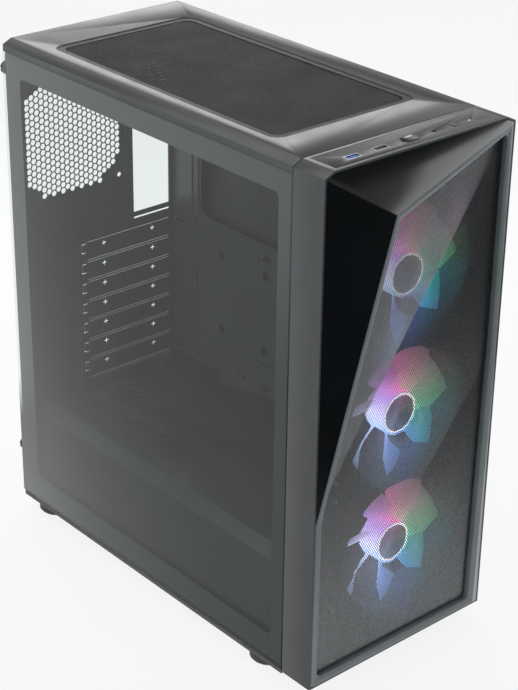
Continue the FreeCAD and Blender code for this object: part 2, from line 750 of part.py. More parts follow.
def psu_shroud():
    bend_z = shroud_top - shroud_bevel_down
    bend_x = shroud_x + shroud_bevel_in
    slim = steel / 2
    floor_z = base + steel
    points = [(shroud_x, floor_z), (shroud_x, bend_z), (bend_x, shroud_top), (tray_x, shroud_top),
              (tray_x, shroud_top - steel), (bend_x + slim, shroud_top - steel), (shroud_x + steel, bend_z - slim),
              (shroud_x + steel, floor_z)]
    start = plate_y + steel + clip_reach + 2 * play
    shell = profile("shroud_shell", "XZ_Plane", points, start, wall_y - start)
    slots = []
    pitch = 6.2
    reach = 9.0
    lines = int((float(wall_y - plate_y) * 0.47) / pitch)
    for block, middle in (("left", supply_x - 30), ("right", supply_x + 4)):
        for line in range(lines):
            x = float(middle)
            y = float(wall_y) - 24 - line * pitch
            z = float(shroud_top) - 3 * float(steel)
            slit = Part.makeBox(2 * reach, 2.2, 6 * float(steel), V(x - reach, y - 1.1, z))
            slit.rotate(V(x, y, z), V(0, 0, 1), -42)
            slots.append(shaped(f"shroud_slit_{block}_{line}", slit))
    notch_y = wall_y - 98
    corner = Part.Face(loop([V(float(tray_x) + 1, float(notch_y) + 26, 0), V(float(tray_x) - 24, float(notch_y) + 22, 0),
                             V(float(tray_x) - 24, float(notch_y) + 4, 0), V(float(tray_x) - 8, float(notch_y) - 26, 0),
                             V(float(tray_x) + 1, float(notch_y) - 26, 0)]))
    notch = corner.extrude(V(0, 0, 6 * float(steel)))
    notch.translate(V(0, 0, float(shroud_top) - 3 * float(steel)))
    slots.append(shaped("shroud_notch", notch))
    node("psu_shroud", cut("shroud", shell, slots))


# ---------------------------------------------------------------- drive cage

def drive_cage():
    x0 = cage_shift - cage_width / 2
    y0 = front + cage_start
    y1 = y0 + cage_length
    z0 = base + steel
    z1 = z0 + cage_height
    ply = 1.0
    outline = [(y0, z0), (y1, z0), (y1, z1), (y1 - ply, z1), (y1 - ply, z0 + ply), (y0 + ply, z0 + ply),
               (y0 + ply, z1), (y0, z1)]
    walls = profile("cage_walls", "YZ_Plane", outline, x0, cage_width)
    ledges = []
    for number in range(2):
        z = z0 + bay_lift + bay_pitch * number
        ledges.append(box(f"ledge_front_{number}", x0 + 4, x0 + cage_width - 4, y0 + ply, y0 + ply + 5, z, z + 1.2))
        ledges.append(box(f"ledge_rear_{number}", x0 + 4, x0 + cage_width - 4, y1 - ply - 5, y1 - ply, z, z + 1.2))
    node("drive_cage", fuse("cage", [walls] + ledges))
    for number, word in enumerate(("lower", "upper")):
        z = z0 + bay_lift + bay_pitch * number + 1.2
        gap = ply + play
        ends = (y0 + gap, y1 - gap)
        floor_piece = box(f"tray_floor_{word}", x0 + 3, x0 + cage_width - 3, ends[0], ends[1], z, z + tray_thick)
        rails = [box(f"tray_rail_front_{word}", x0 + 3, x0 + cage_width - 3, ends[0], ends[0] + 2.4, z, z + tray_rail),
                 box(f"tray_rail_rear_{word}", x0 + 3, x0 + cage_width - 3, ends[1] - 2.4, ends[1], z, z + tray_rail)]
        grip = box(f"tray_grip_{word}", x0 + cage_width - 6, x0 + cage_width - 3, ends[0], ends[1], z, z + tray_rail)
        node(f"drive_tray_{word}", fuse(f"drive_tray_{word}_solid", [floor_piece, grip] + rails))


# ---------------------------------------------------------------- side panels

def thumb_screws(name, x):
    screws = []
    for number, z in enumerate(thumb_spots):
        start = rear + panel_proud
        head = rod(f"{name}_head_{number}", "y", thumb_radius, thumb_length, x, start, z)
        shank = rod(f"{name}_shank_{number}", "y", screw_radius, start - wall_y + screw_reach, x, wall_y - screw_reach, z)
        cross = box(f"{name}_slot_{number}", x - thumb_radius, x + thumb_radius, start + thumb_length - 1.5,
                    start + thumb_length + 1, z - 0.7, z + 0.7)
        screws.append(fuse(f"{name}_{number}", [cut(f"{name}_driven_{number}", head, [cross]), shank]))
    node(name, gather(name + "_set", screws))


def side_panels():
    start = plate_y + steel + play
    end = rear + panel_proud
    pane = rounded("pane", -half, -half + glass_thick, start, end, panel_low, panel_high, 1.5, "x")
    node("glass_panel", pane)
    inner = -half + glass_thick
    leg = box("bracket_leg", inner, inner + steel, rear - 14, end, panel_low + 4, panel_high - 4)
    back = box("bracket_back", inner, -half + return_width + 4, end - steel, end, panel_low + 4, panel_high - 4)
    holes = [rod(f"bracket_hole_{k}", "y", screw_radius + fine_play, 4, -thumb_x, end - 2, z)
             for k, z in enumerate(thumb_spots)]
    node("glass_bracket", cut("glass_bracket_solid", fuse("bracket_angle", [leg, back]), holes))
    thumb_screws("glass_thumb_screws", -thumb_x)
    face = box("panel_face", half - steel, half, start, end, panel_low, panel_high)
    turn = box("panel_turn", half - return_width - 4, half - steel, end - steel, end, panel_low, panel_high)
    holes = [rod(f"panel_hole_{k}", "y", screw_radius + fine_play, 4, thumb_x, end - 2, z)
             for k, z in enumerate(thumb_spots)]
    node("right_panel", cut("right_panel_solid", fuse("panel_angle", [face, turn]), holes))
    thumb_screws("panel_thumb_screws", thumb_x)


# ---------------------------------------------------------------- filters

def top_filter():
    gap = play
    x0 = filter_shift - filter_width / 2 + gap
    x1 = filter_shift + filter_width / 2 - gap
    y0 = filter_y - filter_length / 2 + gap
    y1 = filter_y + filter_length / 2 - gap
    z1 = recess_z + filter_thick
    corner = filter_corner - steel
    outline = rounded("filter_outline", x0, x1, y0, y1, recess_z, z1, corner, "z")
    window = rounded("filter_window", x0 + filter_rim, x1 - filter_rim, y0 + filter_rim, y1 - filter_rim,
                     recess_z - 1, z1 + 1, corner - 3, "z")
    node("top_filter_frame", cut("filter_frame_solid", outline, [window]))
    lift = filter_thick / 3
    node("top_filter_mesh", rounded("filter_mesh_solid", x0 + filter_rim, x1 - filter_rim, y0 + filter_rim,
                                    y1 - filter_rim, recess_z + lift, z1 - lift, corner - 3, "z"))


def lower_filter():
    x1 = sieve_width / 2
    z1 = base - play
    z0 = z1 - sieve_thick
    y0 = rear - sieve_length
    rim_piece = box("sieve_outline", -x1, x1, y0, rear, z0, z1)
    window = box("sieve_window", -x1 + filter_rim, x1 - filter_rim, y0 + filter_rim, rear - filter_rim, z0 - 1, z1 + 1)
    grip = box("sieve_grip", -18, 18, rear, rear + sieve_tab, z0, z1)
    node("lower_filter_frame", fuse("sieve_frame", [cut("sieve_rim", rim_piece, [window]), grip]))
    lift = sieve_thick / 3
    node("lower_filter_mesh", box("sieve_mesh", -x1 + filter_rim, x1 - filter_rim, y0 + filter_rim,
                                  rear - filter_rim, z0 + lift, z1 - lift))


# ---------------------------------------------------------------- feet

def feet():
    spots = {"front_left": (-foot_x, front + foot_front), "front_right": (foot_x, front + foot_front),
             "rear_left": (-foot_x, rear - foot_rear), "rear_right": (foot_x, rear - foot_rear)}
    for word, (x, y) in spots.items():
        high = foot_height
        body = turned(f"foot_{word}_body", [(0, pad_thick), (foot_radius - 1.6, pad_thick),
                      (foot_radius, pad_thick + 2), (foot_radius - 1, high), (0, high)], x, y, 0)
        node(f"foot_{word}", body)
        pad = turned(f"foot_pad_{word}_body", [(0, 0), (pad_radius - 0.5, 0), (pad_radius, pad_thick),
                     (0, pad_thick)], x, y, 0)
        node(f"foot_pad_{word}", pad)


# ---------------------------------------------------------------- fans

BLADES = 7
BLADE_SECTIONS = ((0.0, 16, 48, 0), (0.5, 30, 36, 9), (1.0, 41, 27, 22))


def fan_blade(turn_degrees):
    """One swept blade, lofted through thin slanted sections and trimmed to the tip circle.

    A section is (share of the reach, chord, pitch angle, sweep angle)."""
    wires = []
    low, high = float(fan_flange), float(fan_thick) - 3.5
    root = float(hub_radius) - 1.0
    for share, chord, pitch_angle, sweep in BLADE_SECTIONS:
        radius = root + share * (float(blade_tip) + 1.0 - root)
        turn = math.radians(sweep)
        radial = V(math.cos(turn), 0, math.sin(turn))
        around = V(-math.sin(turn), 0, math.cos(turn))
        slant = math.radians(pitch_angle)
        rise = chord * math.sin(slant)
        along = (around * math.cos(slant) + V(0, 1, 0) * math.sin(slant)) * (min(rise, high - low) / rise)
        normal = radial.cross(along).normalize() * (float(blade_thick) / 2)
        middle = radial * radius + V(0, (low + high) / 2, 0)
        tip_a = middle - along * (chord / 2)
        tip_b = middle + along * (chord / 2)
        wires.append(loop([tip_a - normal * 0.4, middle - normal, tip_b - normal * 0.4,
                           tip_b + normal * 0.4, middle + normal, tip_a + normal * 0.4]))
    blade = Part.makeLoft(wires, True, True)
    sweep_space = Part.makeCylinder(float(blade_tip), float(fan_thick), V(), V(0, 1, 0))
    blade = blade.common(sweep_space)
    blade.rotate(V(), V(0, 1, 0), turn_degrees)
    return blade


def fan(number):
    word = FAN_NAMES[number]
    z = fan_center(number)
    side = fan_side / 2
    y0 = fan_face
    y1 = plate_y
    flanges = [rounded(f"flange_front_{word}", -side, side, y0, y0 + fan_flange, z - side, z + side, fan_corner, "y"),
               rounded(f"flange_rear_{word}", -side, side, y1 - fan_flange, y1, z - side, z + side, fan_corner, "y"),
               rod(f"barrel_{word}", "y", side - 0.2, fan_thick, 0, y0, z)]
    bores = [rod(f"bore_{word}", "y", fan_bore, fan_thick + 2, 0, y0 - 1, z)]
    for k, (a, b) in enumerate(((-1, -1), (1, -1), (1, 1), (-1, 1))):
        bores.append(rod(f"fan_hole_{word}_{k}", "y", fan_hole, fan_thick + 2, a * fan_spacing / 2, y0 - 1,
                         z + b * fan_spacing / 2))
    duct = cut(f"duct_{word}", fuse(f"duct_outer_{word}", flanges), bores)
    spider = [rod(f"motor_plate_{word}", "y", hub_radius + 1, 2, 0, y1 - 2, z)]
    arm = fan_bore + 1
    spider.append(box(f"arm_a_{word}", -arm, arm, y1 - 2, y1, z - 2.2, z + 2.2))
    spider.append(box(f"arm_b_{word}", -2.2, 2.2, y1 - 2, y1, z - arm, z + arm))
    node(f"fan_frame_{word}", fuse(f"fan_frame_{word}_solid", [duct] + spider))
    motor_back = y1 - 2
    motor_front = y0 + 5.2
    motor = rod(f"motor_body_{word}", "y", motor_radius, motor_back - motor_front, 0, motor_front, z)
    shaft_hole = rod(f"motor_bore_{word}", "y", shaft_radius + fine_play, 14, 0, motor_front - 0.1, z)
    node(f"fan_motor_{word}", cut(f"fan_motor_{word}_solid", motor, [shaft_hole]))
    cup_front = y0 + 2.2
    cup = rod(f"hub_{word}", "y", hub_radius, motor_back - 1.2 - cup_front, 0, cup_front, z)
    hollow = rod(f"hub_hollow_{word}", "y", hub_radius - hub_wall, 30, 0, cup_front + 2, z)
    groove = cut(f"ring_tool_{word}", rod(f"ring_tool_outer_{word}", "y", ring_outer, ring_thick + 1, 0, cup_front - 1, z),
                 [rod(f"ring_tool_inner_{word}", "y", ring_inner, ring_thick + 3, 0, cup_front - 2, z)])
    shell = cut(f"hub_cup_{word}", cup, [hollow, groove])
    shaft = rod(f"shaft_{word}", "y", shaft_radius, 13, 0, cup_front + 1, z)
    blades = []
    for k in range(BLADES):
        blade = shaped(f"blade_{word}_{k}", fan_blade(k * 360 / BLADES))
        blades.append(blade)
        place(blade, 0, y0, z)
    node(f"fan_rotor_{word}", fuse(f"fan_rotor_{word}_solid", [shell, shaft] + blades))
    ring = cut(f"fan_ring_{word}_solid", rod(f"ring_outer_{word}", "y", ring_outer, ring_thick, 0, cup_front, z),
               [rod(f"ring_inner_{word}", "y", ring_inner, ring_thick + 2, 0, cup_front - 1, z)])
    node(f"fan_light_ring_{word}", ring)


def fan_screws():
    screws = []
    for number in range(3):
        for a in (-1, 1):
            for b in (-1, 1):
                x = a * fan_spacing / 2
                z = fan_center(number) + b * fan_spacing / 2
                key = f"{number}_{a}_{b}"
                back = plate_y + steel
                head = rod(f"fan_screw_head_{key}", "y", 3.6, 2, x, back, z)
                shank = rod(f"fan_screw_shank_{key}", "y", fan_hole - fine_play, 10, x, back - 10, z)
                screws.append(fuse(f"fan_screw_{key}", [head, shank]))
    node("fan_screws", gather("fan_screw_set", screws))


# ---------------------------------------------------------------- front panel

def front_shell():
    back = plate_y - play
    outer = roof_outline(lower_edge, 0.0)
    inner = roof_outline(lower_edge + rim, rim)
    block = profile("front_block", "XZ_Plane", outer, front, back - front)
    hollow = profile("front_hollow", "XZ_Plane", inner, front - 1, back - front + 2)
    strip_x = strip_width / 2
    y0 = front + strip_start
    opening = box("strip_opening", -strip_x, strip_x, y0, y0 + strip_depth, top - rim - 1, top + 1)
    clips = []
    for number, (x, z) in enumerate(clip_spots()):
        inward = -1 if float(x) > 0 else 1
        wall_side = x - inward * (clip_in - rim + 0.4)
        low, high = (wall_side, x) if inward > 0 else (x, wall_side)
        clips.append(box(f"clip_web_{number}", low, high, back - 9, back, z - 1.5, z + 1.5))
        clips.append(rod(f"clip_{number}", "y", clip_radius, 9 + play + clip_reach, x, back - 9, z))
    node("front_shell", fuse("shell", [cut("shell_cut", block, [hollow, opening])] + clips))


def front_corners():
    """The named corners of the faceted front: (x, y, z)."""
    edge = half - rim
    low = lower_edge + rim
    shoulder = top - chamfer_down - rim / 2
    ridge = half - chamfer_in - rim / 2
    roof_z = top - rim
    return {
        "left_shoulder": (-edge, front, shoulder), "left_ridge": (-ridge, front, roof_z),
        "right_ridge": (ridge, front, roof_z), "right_shoulder": (edge, front, shoulder),
        "nose": (-half + nose_in, front - nose_reach, top - nose_down),
        "kink": (-edge, front, lower_edge + kink_up), "low_left": (-edge, front, low),
        "wedge": (edge, front, lower_edge + wedge_up), "low_right": (edge, front, low),
        "toe": (half - toe_in, front - toe_reach, lower_edge + toe_up)}


def corner(name):
    return V(*[float(part) for part in front_corners()[name]])


def facet(names, thick, sink=0.0):
    """A flat facet between named corners, given depth straight to the rear."""
    points = [corner(name) + V(0, sink, 0) for name in names]
    return Part.Face(loop(points)).extrude(V(0, float(thick), 0))


MESH_FACETS = (("right_shoulder", "nose", "kink"), ("right_shoulder", "wedge", "low_left", "kink"),
               ("wedge", "toe", "low_left"))
FLANK_FACETS = (("wedge", "toe", "low_right"), ("low_left", "toe", "low_right"))
GLOSS_FACETS = (("kink", "nose", "left_shoulder"), ("left_shoulder", "nose", "left_ridge"),
                ("left_ridge", "nose", "right_ridge"), ("right_ridge", "nose", "right_shoulder"))


def merge(shapes):
    whole = shapes[0].fuse(shapes[1:])
    return whole.removeSplitter()


def mesh_column():
    """The frame's opening: the mesh outline set in by the frame's width, as a column through the front."""
    names = ("right_shoulder", "nose", "kink", "low_left", "toe", "wedge")
    points = [corner(name) for name in names]
    flat = [V(point.x, 0, point.z) for point in points]
    inset = []
    count = len(flat)
    for index in range(count):
        before, here, after = flat[index - 1], flat[index], flat[(index + 1) % count]
        first = (here - before).normalize()
        second = (after - here).normalize()
        normal_one = V(-first.z, 0, first.x)
        normal_two = V(-second.z, 0, second.x)
        bisector = (normal_one + normal_two).normalize()
        reach = float(frame_width) / max(bisector.dot(normal_one), 0.2)
        inset.append(here + bisector * reach)
    column = Part.Face(loop(inset)).extrude(V(0, 200, 0))
    column.translate(V(0, float(front) - 100, 0))
    upright = [edge for edge in column.Edges if abs(edge.tangentAt(edge.FirstParameter).y) > 0.99]
    return column.makeFillet(float(frame_corner), upright)


def front_covers():
    column = mesh_column()
    frame_body = merge([facet(names, frame_depth) for names in MESH_FACETS + FLANK_FACETS])
    node("mesh_frame", shaped("mesh_frame_solid", frame_body.cut(column)))
    net = merge([facet(names, mesh_thick, float(mesh_sink)) for names in MESH_FACETS])
    node("front_mesh", shaped("front_mesh_solid", net.common(column)))
    gloss = merge([facet(names, cover_thick) for names in GLOSS_FACETS])
    node("facet_cover", shaped("facet_cover_solid", gloss))


# ---------------------------------------------------------------- port strip

def port_strip():
    strip_x = strip_width / 2
    y0 = front + strip_start
    z1 = top
    z0 = top - strip_thick
    plate = box("strip_plate", -strip_x, strip_x, y0, y0 + strip_depth, z0, z1)
    holes = []
    for number, x in enumerate((usb_first, usb_second)):
        holes.append(box(f"usb_hole_{number}", x - usb_width / 2 - usb_wall, x + usb_width / 2 + usb_wall,
                         port_y - usb_height / 2 - usb_wall, port_y + usb_height / 2 + usb_wall, z0 - 1, z1 + 1))
    holes.append(rod("jack_hole", "z", jack_radius + fine_play, 6, jack_x, port_y, z0 - 2))
    holes.append(rod("lamp_hole", "z", lamp_radius, 6, lamp_x, port_y, z0 - 2))
    gap = button_play
    holes.append(power_outline("power_hole", gap, z0 - 1, strip_thick + 2))
    holes.append(box("reset_hole", reset_x - reset_side / 2 - gap, reset_x + reset_side / 2 + gap,
                     port_y - reset_side / 2 - gap, port_y + reset_side / 2 + gap, z0 - 1, z1 + 1))
    node("port_strip", cut("strip", plate, holes))
    board_top = top - strip_thick - usb_depth + 1.5
    for word, x in (("left", usb_first), ("right", usb_second)):
        shell = box(f"usb_shell_{word}", x - usb_width / 2 - usb_wall, x + usb_width / 2 + usb_wall,
                    port_y - usb_height / 2 - usb_wall, port_y + usb_height / 2 + usb_wall, board_top, z1)
        mouth = box(f"usb_mouth_{word}", x - usb_width / 2, x + usb_width / 2, port_y - usb_height / 2,
                    port_y + usb_height / 2, board_top + 1, z1 + 1)
        node(f"usb_shell_{word}", cut(f"usb_socket_{word}", shell, [mouth]))
        tongue = box(f"usb_tongue_{word}_block", x - usb_width / 2 + 0.6, x + usb_width / 2 - 0.6, port_y + 0.1,
                     port_y + 1.9, board_top + 1, z1 - 0.8)
        node(f"usb_tongue_{word}", tongue)
    collar = rod("jack_collar", "z", jack_radius, top - board_top, jack_x, port_y, board_top)
    bore = rod("jack_bore", "z", jack_bore, usb_depth, jack_x, port_y, board_top + 1)
    node("audio_jack", cut("jack_solid", collar, [bore]))
    node("power_lamp", rod("lamp_solid", "z", lamp_radius - fine_play, top - board_top, lamp_x, port_y, board_top))
    switch_gap = 0.2
    cap = power_outline("power_cap", 0.0, z0 - 0.6, strip_thick + 0.6 + button_proud)
    skirt_power = box("power_skirt", power_x - power_width / 2 - 1, power_x + power_width / 2 + 1,
                      port_y - power_depth / 2 - 1, port_y + power_depth / 2 + 1, z0 - 1.6, z0 - 0.4)
    stem = rod("power_stem", "z", 2, 4, power_x, port_y, z0 - 4.6)
    node("power_button", fuse("power_button_solid", [cap, skirt_power, stem]))
    cap = box("reset_cap", reset_x - reset_side / 2, reset_x + reset_side / 2, port_y - reset_side / 2,
              port_y + reset_side / 2, z0 - 0.6, z1 + 0.2)
    skirt = box("reset_skirt", reset_x - reset_side / 2 - 1, reset_x + reset_side / 2 + 1,
                port_y - reset_side / 2 - 1, port_y + reset_side / 2 + 1, z0 - 1.6, z0 - 0.4)
    stem = rod("reset_stem", "z", 1.5, 4, reset_x, port_y, z0 - 4.6)
    node("reset_button", fuse("reset_button_solid", [cap, skirt, stem]))
    switches = []
    for word, x, travel in (("power", power_x, power_travel), ("reset", reset_x, reset_travel)):
        high = z0 - 4.6 - travel - switch_gap
        switches.append(box(f"switch_{word}", x - 3, x + 3, port_y - 3, port_y + 3, board_top, high))
    board = box("ports_board", -strip_x + 6, strip_x - 6, port_y - 9, port_y + 9, board_top - 1.6, board_top)
    posts = []
    for number, x in enumerate((-strip_x + 10, strip_x - 10)):
        posts.append(box(f"board_post_{number}", x - 2.5, x + 2.5, port_y - 2.5, port_y + 2.5, board_top, z0))
    node("port_board", fuse("ports_board_solid", [board] + switches + posts))


def power_outline(name, gap, start, length):
    """The power button's long hexagon, grown by a gap."""
    across = power_width / 2 + gap
    deep = power_depth / 2 + gap
    flat = power_width / 2 - power_depth / 3.5 + gap / 2
    points = [(power_x - across, port_y), (power_x - flat, port_y - deep), (power_x + flat, port_y - deep),
              (power_x + across, port_y), (power_x + flat, port_y + deep), (power_x - flat, port_y + deep)]
    return profile(name, "XY_Plane", points, start, length)


# ---------------------------------------------------------------- the whole

chassis_floor()
chassis_roof()
chassis_rear()
slot_parts()
motherboard_tray()
front_plate()
psu_shroud()
drive_cage()
side_panels()
top_filter()
lower_filter()
feet()
for fan_number in range(3):
    fan(fan_number)
fan_screws()
front_shell()
front_covers()
port_strip()

doc.recompute()
for thing in doc.Objects:
    faults = [word for word in thing.State if word in ("Invalid", "Error")]
    if faults:
        raise SystemExit(f"{thing.Label} is {faults}")
for name, thing in made.items():
    if thing.Shape.isNull() or not thing.Shape.isValid() or not thing.Shape.Solids:
        raise SystemExit(f"{name} has no valid solid")

os.makedirs("parts", exist_ok=True)
for name, thing in made.items():
    thing.Shape.exportStep(f"parts/{name}.step")
box_all = Part.makeCompound([thing.Shape for thing in made.values()]).BoundBox
print(len(made), "sub-parts,", "box", round(box_all.XLength, 2), round(box_all.YLength, 2), round(box_all.ZLength, 2))
print("low corner", round(box_all.XMin, 2), round(box_all.YMin, 2), round(box_all.ZMin, 2))
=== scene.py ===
"""Looks of the desktop tower: finishes, finer pieces, stage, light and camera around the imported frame."""
import json
import math

import bmesh
import bpy
from mathutils import Matrix, Vector


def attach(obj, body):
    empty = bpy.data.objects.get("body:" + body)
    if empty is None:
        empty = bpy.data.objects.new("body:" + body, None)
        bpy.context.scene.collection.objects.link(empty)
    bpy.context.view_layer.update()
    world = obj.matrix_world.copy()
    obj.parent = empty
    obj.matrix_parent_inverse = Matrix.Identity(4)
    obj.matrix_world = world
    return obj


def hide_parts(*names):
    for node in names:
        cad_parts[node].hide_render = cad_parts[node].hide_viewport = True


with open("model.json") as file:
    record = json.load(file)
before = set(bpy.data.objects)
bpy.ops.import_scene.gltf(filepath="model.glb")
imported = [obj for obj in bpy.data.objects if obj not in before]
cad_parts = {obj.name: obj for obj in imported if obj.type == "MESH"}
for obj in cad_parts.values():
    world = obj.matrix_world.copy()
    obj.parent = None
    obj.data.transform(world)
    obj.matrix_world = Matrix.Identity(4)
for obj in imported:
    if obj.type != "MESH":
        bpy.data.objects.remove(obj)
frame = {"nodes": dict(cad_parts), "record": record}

MM = 0.001
LARGEST_PIECE = 0.018  # square metres of front mesh kept in one piece
NET_PITCH = 0.62 * MM
THREAD_SHARE = 0.27  # thread radius as a share of the net's height
MESH_PITCH, MESH_HOLE, MESH_THICK = 2.0 * MM, 1.4 * MM, 0.5 * MM
# Glass print: low and high y, low and high z and corner radius of its edge and of the window left clear.
PRINT_EDGE = (-157.6 * MM, 211.8 * MM, 18.5 * MM, 451.4 * MM, 2 * MM)
CLEAR_WINDOW = (-141.5 * MM, 191.0 * MM, 41.0 * MM, 432.0 * MM, 4 * MM)
PRINT_DEPTH = (-96.62 * MM, -96.52 * MM)
GLOW_POWER = 4.2
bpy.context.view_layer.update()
NODES = frame["nodes"]
BODY_OF = {node: body for body, nodes in frame["record"]["behaviour"]["bodies"].items() for node in nodes}
SLOT_OF = {part["node"]: part["material_slot"] for part in frame["record"]["subparts"]}
FANS = ("bottom", "middle", "top")
FAN_CENTRE = {"bottom": 112.1 * MM, "middle": 232.8 * MM, "top": 353.5 * MM}


# ---------------------------------------------------------------- finishes

class Finish:
    """A procedural surface: one Principled shader and the pattern nodes that feed it."""

    def __init__(self, name, colour, roughness, metallic=0.0, specular=0.5):
        self.material = bpy.data.materials.new(name)
        self.material.use_nodes = True
        self.tree = self.material.node_tree
        self.shader = self.tree.nodes["Principled BSDF"]
        self.output = self.tree.nodes["Material Output"]
        self.shader.inputs["Base Color"].default_value = (*colour, 1)
        self.shader.inputs["Roughness"].default_value = roughness
        self.shader.inputs["Metallic"].default_value = metallic
        self.shader.inputs["Specular IOR Level"].default_value = specular
        self.place = self.add("ShaderNodeTexCoord").outputs["Object"]

    def add(self, kind, **settings):
        made = self.tree.nodes.new(kind)
        for key, value in settings.items():
            setattr(made, key, value)
        return made

    def join(self, source, target):
        self.tree.links.new(source, target)

    def noise(self, size, detail=2.0, stretch=(1, 1, 1)):
        """Cloudy grey pattern whose blobs are about `size` metres across."""
        mapping = self.add("ShaderNodeMapping")
        mapping.inputs["Scale"].default_value = stretch
        self.join(self.place, mapping.inputs["Vector"])
        made = self.add("ShaderNodeTexNoise")
        made.inputs["Scale"].default_value = 1 / size
        made.inputs["Detail"].default_value = detail
        self.join(mapping.outputs["Vector"], made.inputs["Vector"])
        return made.outputs["Fac"]

    def ramp(self, factor, stops):
        """Colours or greys along a pattern: stops are (position, value or colour)."""
        made = self.add("ShaderNodeValToRGB")
        bar = made.color_ramp
        while len(bar.elements) < len(stops):
            bar.elements.new(0.5)
        for element, (position, value) in zip(bar.elements, stops):
            element.position = position
            element.color = (*value, 1) if isinstance(value, tuple) else (value, value, value, 1)
        self.join(factor, made.inputs["Fac"])
        return made.outputs["Color"]

    def shade(self, factor, dark, light):
        """Base colour that drifts from dark to light with a pattern."""
        self.join(self.ramp(factor, ((0.3, dark), (0.7, light))), self.shader.inputs["Base Color"])

    def gloss(self, factor, low, high):
        """Roughness that drifts from low to high with a pattern."""
        self.join(self.ramp(factor, ((0.3, low), (0.7, high))), self.shader.inputs["Roughness"])

    def relief(self, factor, depth, strength=1.0):
        """Surface grain of a real depth in metres."""
        made = self.add("ShaderNodeBump")
        made.inputs["Distance"].default_value = depth
        made.inputs["Strength"].default_value = strength
        self.join(factor, made.inputs["Height"])
        if self.shader.inputs["Normal"].is_linked:
            before = self.shader.inputs["Normal"].links[0].from_socket
            self.join(before, made.inputs["Normal"])
        self.join(made.outputs["Normal"], self.shader.inputs["Normal"])


def tint(colour, factor):
    return tuple(min(part * factor, 1.0) for part in colour)


def coated(name, colour, roughness, grain=0.5 * MM, depth=0.006 * MM, specular=0.5, drift=0.10):
    """Powder coat or paint: fine orange peel, faint colour drift and uneven gloss."""
    made = Finish(name, colour, roughness, specular=specular)
    made.shade(made.noise(60 * MM), tint(colour, 1 - drift), tint(colour, 1 + drift))
    made.gloss(made.noise(25 * MM, 3), roughness * 0.92, roughness * 1.08)
    made.relief(made.noise(grain, 2), depth)
    return made.material


def moulded(name, colour, roughness, spark=0.35 * MM, depth=0.006 * MM, specular=0.5):
    """Moulded plastic with a spark eroded texture and soft flow marks."""
    made = Finish(name, colour, roughness, specular=specular)
    made.shade(made.noise(40 * MM, 3), tint(colour, 0.92), tint(colour, 1.08))
    made.gloss(made.noise(9 * MM, 3), roughness * 0.94, roughness * 1.06)
    made.relief(made.noise(spark, 1), depth)
    return made.material


def plated(name, colour, roughness):
    """Metal with fine turning or brushing marks."""
    made = Finish(name, colour, roughness, metallic=1.0)
    made.shade(made.noise(3 * MM, 4), tint(colour, 0.85), tint(colour, 1.1))
    made.gloss(made.noise(0.8 * MM, 2, (1, 1, 8)), roughness * 0.8, roughness * 1.3)
    made.relief(made.noise(0.3 * MM, 2, (1, 1, 12)), 0.01 * MM)
    return made.material


def glass_finish():
    """Lightly smoked tempered glass that mirrors more at a grazing look, on its outer faces only."""
    made = Finish("smoked_glass", (0.02, 0.022, 0.022), 0.02)
    clear = made.add("ShaderNodeBsdfTransparent")
    clear.inputs["Color"].default_value = (0.90, 0.93, 0.93, 1)
    shine = made.add("ShaderNodeBsdfGlossy")
    shine.inputs["Color"].default_value = (1, 1, 1, 1)
    shine.inputs["Roughness"].default_value = 0.03
    fresnel = made.add("ShaderNodeFresnel")
    fresnel.inputs["IOR"].default_value = 1.5
    side = made.add("ShaderNodeNewGeometry")
    outward = made.add("ShaderNodeMath", operation="SUBTRACT")
    outward.inputs[0].default_value = 1.0
    made.join(side.outputs["Backfacing"], outward.inputs[1])
    share = made.add("ShaderNodeMath", operation="MULTIPLY")
    made.join(fresnel.outputs["Fac"], share.inputs[0])
    made.join(outward.outputs["Value"], share.inputs[1])
    mixed = made.add("ShaderNodeMixShader")
    made.join(share.outputs["Value"], mixed.inputs["Fac"])
    made.join(clear.outputs["BSDF"], mixed.inputs[1])
    made.join(shine.outputs["BSDF"], mixed.inputs[2])
    made.join(mixed.outputs["Shader"], made.output.inputs["Surface"])
    return made.material


# Glow round each fan, from its left side through bottom, right and top back to the left.
GLOW_COLOURS = (
    (0.0, (0.60, 0.62, 0.95)), (0.13, (0.22, 0.50, 0.85)), (0.27, (0.12, 0.16, 0.62)),
    (0.36, (0.01, 0.32, 0.55)), (0.43, (0.0, 0.42, 0.36)), (0.50, (0.06, 0.30, 0.14)),
    (0.60, (0.22, 0.26, 0.16)), (0.72, (0.55, 0.10, 0.28)), (0.85, (0.38, 0.20, 0.62)),
    (1.0, (0.60, 0.62, 0.95)))
# Share of the glow by distance: 0 at GLOW_REACH from the fan centre, 1 at the centre; the hub cap stays dim.
GLOW_FADE = ((0.0, 0.12), (0.12, 0.22), (0.45, 0.50), (0.69, 1.0), (0.735, 0.10), (1.0, 0.03))
GLOW_REACH = 60 * MM


